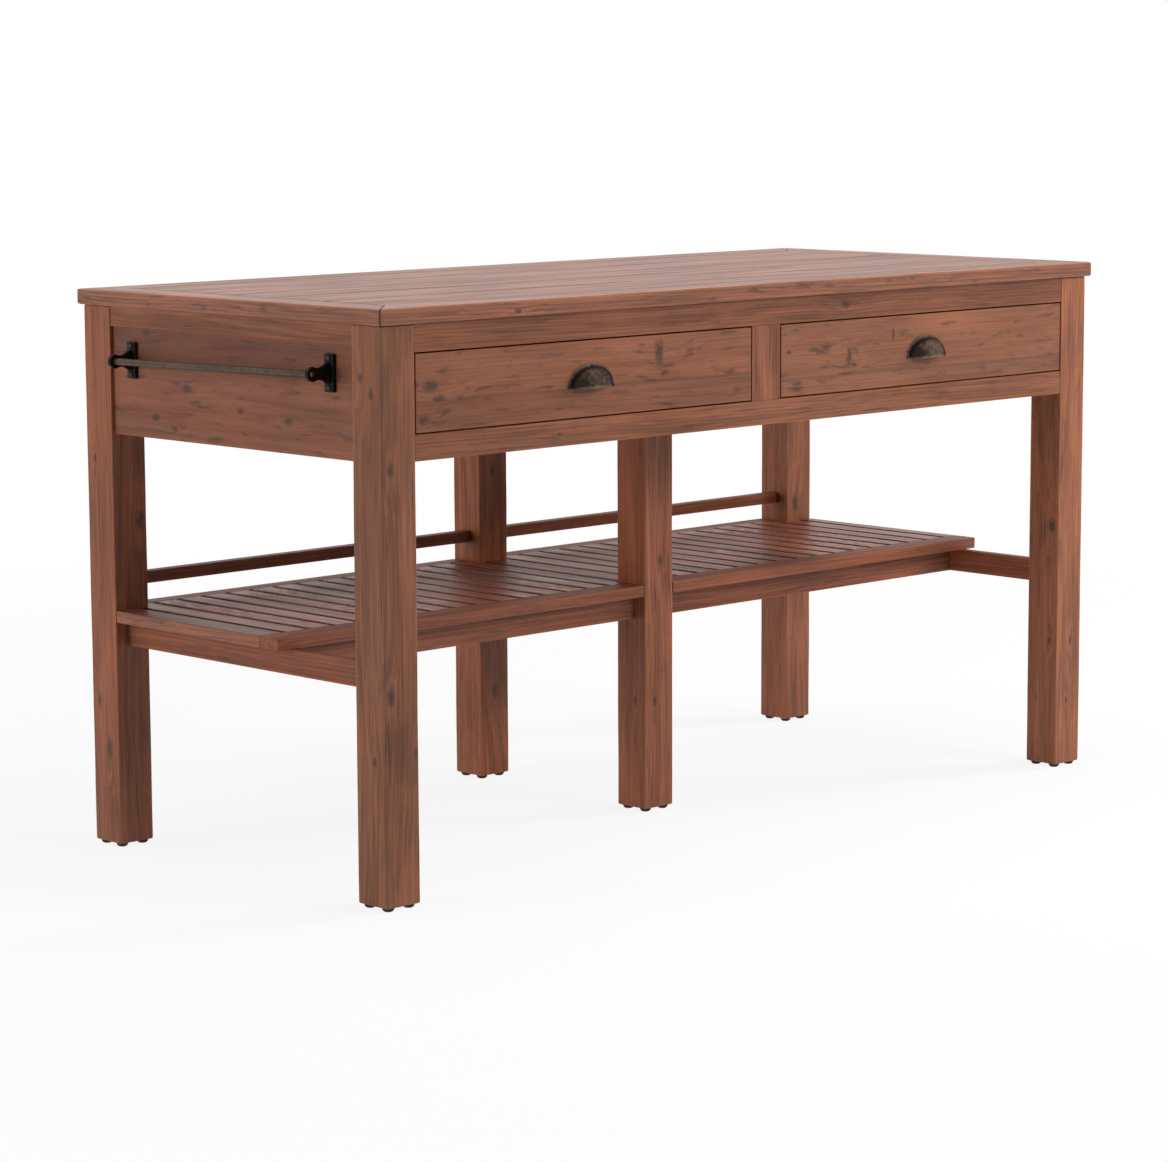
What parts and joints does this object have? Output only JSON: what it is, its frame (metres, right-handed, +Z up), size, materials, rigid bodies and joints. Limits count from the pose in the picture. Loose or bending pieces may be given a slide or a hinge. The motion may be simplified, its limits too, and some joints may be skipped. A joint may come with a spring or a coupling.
{
  "type": "kitchen island",
  "caption": "Free-standing wooden kitchen island with a plank top, inset drawers with cup pulls, a towel bar at one end and a slatted shelf set back for knee room.",
  "frame": {"origin": "on the floor, under the centre of the overall box", "axes": "+X along the length to the right as seen from the drawers, +Y from the drawer front to the back, +Z up"},
  "size_m": [1.7244, 0.7589, 0.914],
  "materials": {
    "stained_pine": "satin brown stain",
    "drawer_pine": "unstained, sanded",
    "pull_bronze": "dark antique bronze",
    "bar_bronze": "dark antique bronze",
    "bracket_iron": "black, satin",
    "glide_plastic": "matt",
    "screw_steel": "zinc plated"
  },
  "bodies": {
    "island": {"leg_front_left": "stained_pine", "leg_front_right": "stained_pine", "leg_back_left": "stained_pine", "leg_back_right": "stained_pine", "leg_middle_front": "stained_pine", "leg_middle_back": "stained_pine", "leg_glides": "glide_plastic", "top_border_front": "stained_pine", "top_border_back": "stained_pine", "top_border_left": "stained_pine", "top_border_right": "stained_pine", "top_planks": "stained_pine", "front_upper_rail": "stained_pine", "front_lower_rail": "stained_pine", "drawer_divider": "stained_pine", "end_rail_left": "stained_pine", "end_rail_right": "stained_pine", "end_panel_left": "stained_pine", "end_panel_right": "stained_pine", "back_panel_left": "stained_pine", "back_panel_right": "stained_pine", "middle_stretcher": "stained_pine", "end_stretcher_left": "stained_pine", "end_stretcher_right": "stained_pine", "shelf_rail_front_left": "stained_pine", "shelf_rail_front_right": "stained_pine", "shelf_rail_back_left": "stained_pine", "shelf_rail_back_right": "stained_pine", "guard_rail_left": "stained_pine", "guard_rail_right": "stained_pine", "shelf_front_board_left": "stained_pine", "shelf_front_board_right": "stained_pine", "shelf_back_board_left": "stained_pine", "shelf_back_board_right": "stained_pine", "shelf_slats_left": "stained_pine", "shelf_slats_right": "stained_pine", "drawer_runners": "drawer_pine", "drawer_kickers": "drawer_pine", "drawer_stop_bars": "drawer_pine", "drawer_back_stops": "drawer_pine", "top_screws": "screw_steel", "towel_bar": "bar_bronze", "towel_bracket_front": "bracket_iron", "towel_bracket_back": "bracket_iron", "bracket_screws": "bracket_iron"},
    "drawer_left": {"drawer_front_left": "stained_pine", "drawer_side_left_a": "drawer_pine", "drawer_side_left_b": "drawer_pine", "drawer_back_left": "drawer_pine", "drawer_bottom_left": "drawer_pine", "cup_pull_left": "pull_bronze", "pull_screws_left": "screw_steel"},
    "drawer_right": {"drawer_front_right": "stained_pine", "drawer_side_right_a": "drawer_pine", "drawer_side_right_b": "drawer_pine", "drawer_back_right": "drawer_pine", "drawer_bottom_right": "drawer_pine", "cup_pull_right": "pull_bronze", "pull_screws_right": "screw_steel"}
  },
  "joints": [
    {"name": "drawer_left_slide", "type": "slide", "parent": "island", "child": "drawer_left", "axis": [0, -1, 0], "range_m": [0, 0.297]},
    {"name": "drawer_right_slide", "type": "slide", "parent": "island", "child": "drawer_right", "axis": [0, -1, 0], "range_m": [0, 0.297]}
  ]
}
